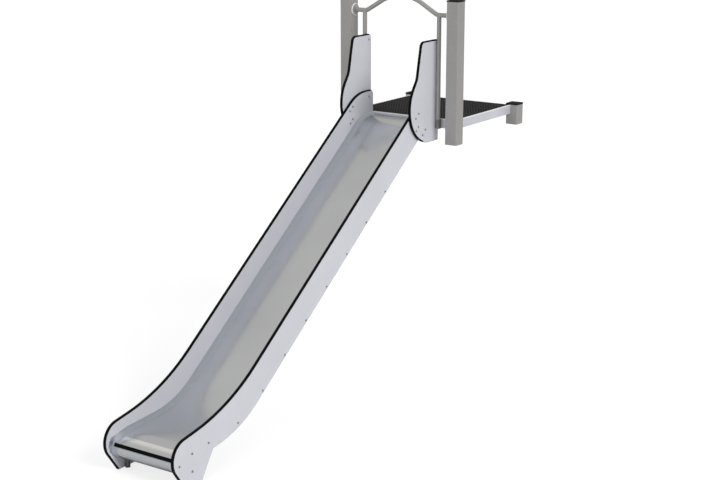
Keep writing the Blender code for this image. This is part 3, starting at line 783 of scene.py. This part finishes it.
def add_tubes(steel_across, steel_upright, steel_leg):
    """Cross tubes under the chute, the exit legs and the uprights beside the wings."""
    for node in cross_tubes:
        tube = tube_between(*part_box(node), "x")
        hand_over(tube, f"{node}_pipe", (steel_across,), (node,))
    for side in ("left", "right"):
        for node, steel in ((f"exit_leg_{side}", steel_leg), (f"upright_{side}", steel_upright)):
            tube = tube_between(*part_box(node), "z")
            hand_over(tube, f"{node}_pipe", (steel,), (node,))


def add_arch_rail(steel):
    """The bent rail: a circle drawn out from the left post to the crown, and mirrored."""
    low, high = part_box("arch_rail")
    left_end = low.x
    middle_y = (low.y + high.y) / 2
    radius = (high.y - low.y) / 2
    level = low.z + radius
    bend_x = left_end + RAIL_STUB
    tangent = RAIL_BEND_RADIUS * tan(RAIL_SLOPE / 2)
    crown = high.z - radius - MERGE_DISTANCE
    crown_radius = (level - bend_x * tan(RAIL_SLOPE) - crown) / (1 / cos(RAIL_SLOPE) - 1)
    bpy.ops.mesh.primitive_circle_add(
        vertices=TUBE_SIDES, radius=radius, location=(left_end, middle_y, level), rotation=(0.0, pi / 2, 0.0)
    )
    settle()
    rail = bpy.context.object
    bpy.ops.object.mode_set(mode="EDIT")
    bpy.ops.mesh.select_mode(type="VERT")
    bpy.ops.mesh.select_all(action="SELECT")
    stub = RAIL_STUB - tangent
    bpy.ops.mesh.extrude_region_move(TRANSFORM_OT_translate={"value": (stub, 0.0, 0.0)})
    bpy.ops.mesh.spin(
        steps=RAIL_BEND_STEPS, angle=RAIL_SLOPE, axis=(0.0, 1.0, 0.0),
        center=(left_end + stub, middle_y, level + RAIL_BEND_RADIUS),
    )
    half_crown = crown_radius * sin(RAIL_SLOPE)
    run_start = bend_x + tangent * cos(RAIL_SLOPE)
    run = (-half_crown - run_start) / cos(RAIL_SLOPE)
    step = (run * cos(RAIL_SLOPE), 0.0, run * sin(RAIL_SLOPE))
    bpy.ops.mesh.extrude_region_move(TRANSFORM_OT_translate={"value": step})
    bpy.ops.mesh.spin(
        steps=RAIL_CROWN_STEPS, angle=-RAIL_SLOPE, axis=(0.0, 1.0, 0.0),
        center=(0.0, middle_y, crown - crown_radius),
    )
    stop_editing()
    bpy.ops.object.modifier_add(type="MIRROR")
    mirror = rail.modifiers[-1]
    mirror.merge_threshold = MIRROR_MERGE_DISTANCE
    bpy.ops.object.modifier_apply(modifier=mirror.name)
    bpy.ops.object.mode_set(mode="EDIT")
    bpy.ops.mesh.select_all(action="SELECT")
    bpy.ops.mesh.remove_doubles(threshold=MERGE_DISTANCE)
    bpy.ops.mesh.fill_holes(sides=TUBE_SIDES)
    bpy.ops.mesh.normals_make_consistent(inside=False)
    stop_editing()
    soften(rail)
    hand_over(rail, "arch_rail_pipe", (steel,), ("arch_rail",))


def add_flanges(steel, zinc):
    """The round flanges between the rail and the posts, with a rounded zinc rim painted bright as a painted
    highlight.
    """
    for side in ("left", "right"):
        low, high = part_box(f"rosette_{side}")
        thickness = high.x - low.x
        bpy.ops.mesh.primitive_cylinder_add(
            vertices=TUBE_SIDES, radius=(high.z - low.z) / 2, depth=thickness,
            location=(low + high) / 2, rotation=(0.0, pi / 2, 0.0),
        )
        settle()
        flange = bpy.context.object
        inner_x = min(low.x, high.x, key=abs)
        start_editing()
        pick_edges(lambda a, b: abs(a.x - inner_x) < MERGE_DISTANCE and abs(b.x - inner_x) < MERGE_DISTANCE)
        bpy.ops.mesh.bevel(offset=thickness * FLANGE_RIM_SHARE, segments=FLANGE_RIM_STEPS)
        stop_editing()
        flange.data.materials.append(zinc)
        flange.data.materials.append(steel)
        for polygon in flange.data.polygons:
            polygon.material_index = 1 if abs(polygon.normal.x) > SQUARE_TO else 0
        soften(flange)
        hand_over(flange, f"rosette_{side}_plate", (), (f"rosette_{side}",))


def add_posts(steel):
    """Square posts with rounded corners, open below."""
    for node in ("front_post_left", "front_post_right", "rear_post_left", "rear_post_right"):
        low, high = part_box(node)
        bpy.ops.mesh.primitive_cube_add(size=1.0, location=(low + high) / 2, scale=high - low)
        settle()
        post = bpy.context.object
        start_editing()
        pick_edges(lambda a, b: abs(a.z - b.z) > MERGE_DISTANCE)
        bpy.ops.mesh.bevel(offset=POST_CORNER, segments=POST_CORNER_STEPS)
        pick_faces(lambda spot, normal: normal.z < -LOOKS_ALONG)
        bpy.ops.mesh.inset(thickness=POST_WALL)
        bpy.ops.mesh.extrude_region_move(TRANSFORM_OT_translate={"value": (0.0, 0.0, POST_MOUTH)})
        stop_editing()
        soften(post)
        hand_over(post, f"{node}_shaft", (steel,), (node,))


def add_caps(plastic):
    """The posts' plastic caps with softened edges."""
    for node in ("front_post_cap_left", "front_post_cap_right", "rear_post_cap_left", "rear_post_cap_right"):
        cap = merged_copy(node)
        round_edges(cap, CAP_EDGE)
        soften(cap)
        hand_over(cap, f"{node}_lid", (plastic,), (node,))


def add_beams(aluminium):
    """The deck's beams with eased edges."""
    for node in ("front_beam", "rear_beam", "side_beam_left", "side_beam_right"):
        beam = merged_copy(node)
        round_edges(beam, BEAM_EDGE)
        soften(beam)
        hand_over(beam, f"{node}_profile", (aluminium,), (node,))


def add_brackets(metal):
    """The cast feet under the uprights, narrower at the beam, with two grooves round each."""
    for side in ("left", "right"):
        node = f"upright_bracket_{side}"
        low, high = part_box(node)
        bracket = merged_copy(node)
        start_editing()
        pick_faces(lambda spot, normal: normal.y > LOOKS_ALONG)
        bpy.ops.transform.resize(value=(BRACKET_TAPER, 1.0, 1.0), center_override=(low + high) / 2)
        for level in BRACKET_GROOVES:
            for cut in (level - GROOVE_WIDTH / 2, level + GROOVE_WIDTH / 2):
                bpy.ops.mesh.select_all(action="SELECT")
                bpy.ops.mesh.bisect(plane_co=(0.0, 0.0, cut), plane_no=(0.0, 0.0, 1.0))
            pick_faces(
                lambda spot, normal: abs(spot.z - level) < GROOVE_WIDTH / 2 and abs(normal.z) < LOOKS_ALONG
            )
            bpy.ops.mesh.inset(thickness=GROOVE_LIP, depth=-GROOVE_DEPTH)
        stop_editing()
        round_edges(bracket, BRACKET_EDGE)
        soften(bracket)
        hand_over(bracket, f"{node}_casting", (metal,), (node,))


def stud_rows(corner, across, along, shift):
    """Rows of low diamond studs, every second row of the tread, from one corner on."""
    height = STUD_HEIGHT + STUD_SUNK
    bpy.ops.mesh.primitive_cone_add(
        vertices=STUD_SIDES, radius1=STUD_RADIUS, radius2=STUD_RADIUS * STUD_TOP_SHARE, depth=height,
        location=corner + Vector((*shift, (STUD_HEIGHT - STUD_SUNK) / 2)),
    )
    settle()
    studs = bpy.context.object
    steps = (((STUD_PITCH, 0.0, 0.0), across - shift[0]), ((0.0, 2 * STUD_ROW_PITCH, 0.0), along - shift[1]))
    for step, room in steps:
        bpy.ops.object.modifier_add(type="ARRAY")
        row = studs.modifiers[-1]
        row.count = int(room / max(step)) + 1
        row.use_relative_offset = False
        row.use_constant_offset = True
        row.constant_offset_displace = step
        bpy.ops.object.modifier_apply(modifier=row.name)
    return studs


def add_deck(tread, crest):
    """The deck board and the staggered studs of its tread."""
    low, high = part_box("deck_board")
    across = high.x - low.x - 2 * TREAD_MARGIN
    along = high.y - low.y - 2 * TREAD_MARGIN
    corner = Vector((low.x + TREAD_MARGIN, low.y + TREAD_MARGIN, high.z))
    shifts = ((0.0, 0.0), (STUD_PITCH / 2, STUD_ROW_PITCH))
    studs = joined([stud_rows(corner, across, along, shift) for shift in shifts])
    soften(studs)
    hand_over(studs, "deck_tread_studs", (crest,))
    board = merged_copy("deck_board")
    round_edges(board, BOARD_EDGE)
    soften(board)
    hand_over(board, "deck_board_panel", (tread,), ("deck_board",))


def bolt_head():
    """One domed bolt head on a thin skirt, standing on z = 0, with a hexagon socket."""
    bpy.ops.mesh.primitive_cylinder_add(
        vertices=HEAD_SIDES, radius=HEAD_RADIUS, depth=HEAD_HEIGHT,
        location=(0.0, 0.0, SKIRT_HEIGHT + HEAD_HEIGHT / 2),
    )
    settle()
    head = bpy.context.object
    top = SKIRT_HEIGHT + HEAD_HEIGHT
    start_editing()
    pick_edges(lambda a, b: a.z > top - MERGE_DISTANCE and b.z > top - MERGE_DISTANCE)
    bpy.ops.mesh.bevel(offset=HEAD_DOME, segments=HEAD_DOME_STEPS)
    pick_faces(lambda spot, normal: normal.z < -LOOKS_ALONG)
    bpy.ops.mesh.extrude_region_move()
    wider = SKIRT_RADIUS / HEAD_RADIUS
    bpy.ops.transform.resize(value=(wider, wider, 1.0), center_override=(0.0, 0.0, SKIRT_HEIGHT))
    bpy.ops.mesh.extrude_region_move(TRANSFORM_OT_translate={"value": (0.0, 0.0, -SKIRT_HEIGHT)})
    stop_editing()
    bpy.ops.mesh.primitive_cylinder_add(
        vertices=SOCKET_SIDES, radius=SOCKET_RADIUS, depth=2 * SOCKET_DEPTH, location=(0.0, 0.0, top)
    )
    settle()
    socket = bpy.context.object
    only(head)
    bpy.ops.object.modifier_add(type="BOOLEAN")
    recess = head.modifiers[-1]
    recess.solver = "EXACT"
    recess.object = socket
    bpy.ops.object.modifier_apply(modifier=recess.name)
    bpy.data.objects.remove(socket)
    soften(head)
    return head


def bolts_at(pattern, places, name, material):
    """Copies of a bolt head at places given as (x, y, z, way), way being +1 or -1 along X."""
    copies = []
    for x, y, z, way in places:
        bolt = bpy.data.objects.new(name, pattern.data.copy())
        bpy.context.scene.collection.objects.link(bolt)
        bolt.matrix_world = Matrix.Translation((x, y, z)) @ Matrix.Rotation(way * pi / 2, 4, "Y")
        copies.append(bolt)
    bolts = joined(copies)
    settle()
    return hand_over(bolts, name, (material,))


def add_bolts(steel):
    """The bolt heads of each side: a set on the panel's outer face and a set through panel and wing."""
    pattern = bolt_head()
    # The tubes' bolts lie on their axes, from the second tube down
    tube_bolts = [(sum(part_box(node), Vector()) / 2).yz for node in cross_tubes[1:]]
    for side, way in (("left", -1), ("right", 1)):
        panel_in, panel_out = sorted((corner.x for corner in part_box(f"side_panel_{side}")), key=abs)
        wing_in, wing_out = sorted((corner.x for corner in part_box(f"wing_panel_{side}")), key=abs)
        outer = [(panel_out, *place, way) for place in (*tube_bolts, *LEG_BOLTS, *NOSE_BOLTS)]
        bolts_at(pattern, outer, f"panel_bolts_{side}", steel)
        through = [(wing_out, *place, way) for place in (*WING_BOLTS_HIGH, *WING_BOLTS_LOW)]
        through += [(panel_in, *place, -way) for place in WING_BOLTS_HIGH]
        through += [(wing_in, *UPRIGHT_BOLT_ON_WING, -way), (panel_in, *UPRIGHT_BOLT_ON_PANEL, -way)]
        bolts_at(pattern, through, f"wing_bolts_{side}", steel)
    bpy.data.objects.remove(pattern)


# Stage

def add_daylight():
    """A sky that is white to the camera, a soft sun from the right and a weak fill light from the front."""
    world = bpy.data.worlds.new("white_studio")
    bpy.context.scene.world = world
    world.use_nodes = True
    tree = world.node_tree
    background = tree.nodes["Background"]
    path = add_node(tree, "ShaderNodeLightPath")
    tint = between(tree, path.outputs["Is Glossy Ray"], (1.0, 1.0, 1.0), GLOSS_TINT)
    tree.links.new(tint, background.inputs["Color"])
    seen = add_node(tree, "ShaderNodeMath", {
        0: path.outputs["Is Camera Ray"],
        1: 1.0 - DAYLIGHT,
        2: DAYLIGHT,
    }, operation="MULTIPLY_ADD")
    way = add_node(tree, "ShaderNodeTexCoord").outputs["Generated"]
    height = add_node(tree, "ShaderNodeSeparateXYZ", {"Vector": way}).outputs["Z"]
    added = add_node(tree, "ShaderNodeMapRange", {
        "Value": height,
        "From Min": GLOSS_LOW_AT,
        "From Max": GLOSS_HIGH_AT,
        "To Min": GLOSS_LOW - DAYLIGHT,
        "To Max": GLOSS_HIGH - DAYLIGHT,
    })
    glossy = add_node(tree, "ShaderNodeMath", {
        0: path.outputs["Is Glossy Ray"],
        1: added.outputs["Result"],
        2: seen.outputs["Value"],
    }, operation="MULTIPLY_ADD")
    tree.links.new(glossy.outputs["Value"], background.inputs["Strength"])

    lamps = ((SUN_POWER, SUN_SOFTNESS, SUN_FROM), (FILL_POWER, FILL_SOFTNESS, FILL_FROM))
    for power, softness, way in lamps:
        bpy.ops.object.light_add(type="SUN")
        lamp = bpy.context.object
        lamp.data.energy = power
        lamp.data.angle = radians(softness)
        lamp.visible_glossy = False
        lamp.rotation_euler = Vector(way).to_track_quat("Z", "Y").to_euler()


def add_floor():
    """A plain pale floor that stays white to the camera and keeps the slide's shadow."""
    bpy.ops.mesh.primitive_plane_add(size=2 * FLOOR_REACH, location=(0.0, 0.0, 0.0))
    floor = bpy.context.object
    floor.name = "studio_floor"
    material = bpy.data.materials.new("pale_floor")
    material.use_nodes = True
    tree = material.node_tree
    tree.nodes.remove(tree.nodes["Principled BSDF"])
    path = add_node(tree, "ShaderNodeLightPath")
    paint = add_node(tree, "ShaderNodeBsdfDiffuse", {"Color": (*FLOOR_PAINT, 1.0)})
    glow = add_node(tree, "ShaderNodeEmission", {"Color": (1.0, 1.0, 1.0, 1.0), "Strength": FLOOR_GLOW})
    mixed = add_node(tree, "ShaderNodeMixShader", {
        0: product(tree, path.outputs["Is Camera Ray"], FLOOR_GLOW_SHARE),
        1: paint.outputs["BSDF"],
        2: glow.outputs["Emission"],
    })
    tree.links.new(mixed.outputs["Shader"], tree.nodes["Material Output"].inputs["Surface"])
    floor.data.materials.append(material)


add_camera()
add_daylight()
add_floor()

steel_upright = galvanised_steel("galvanised_upright", STREAKS_UPRIGHT)
steel_across = galvanised_steel("galvanised_across", STREAKS_ACROSS)

add_panels(laminate_face(), laminate_core())
add_chute(chute_steel(), moulded_black("grip_strip_black", STRIP_TONES))
# The exit legs are darkened as painted shade
add_tubes(steel_across, steel_upright, galvanised_steel("galvanised_leg", STREAKS_UPRIGHT, LEG_SHADE_TINT))
add_arch_rail(steel_across)
# The flanges' rims are painted bright as a painted highlight
add_flanges(steel_upright, zinc_rim_highlight())
add_posts(steel_upright)
add_caps(moulded_black("moulded_black", CAP_TONES))
add_beams(drawn_aluminium())
add_brackets(cast_metal())
add_deck(deck_tread(), tread_crest())
add_bolts(bolt_steel())

bpy.context.scene.view_settings.view_transform = "Standard"
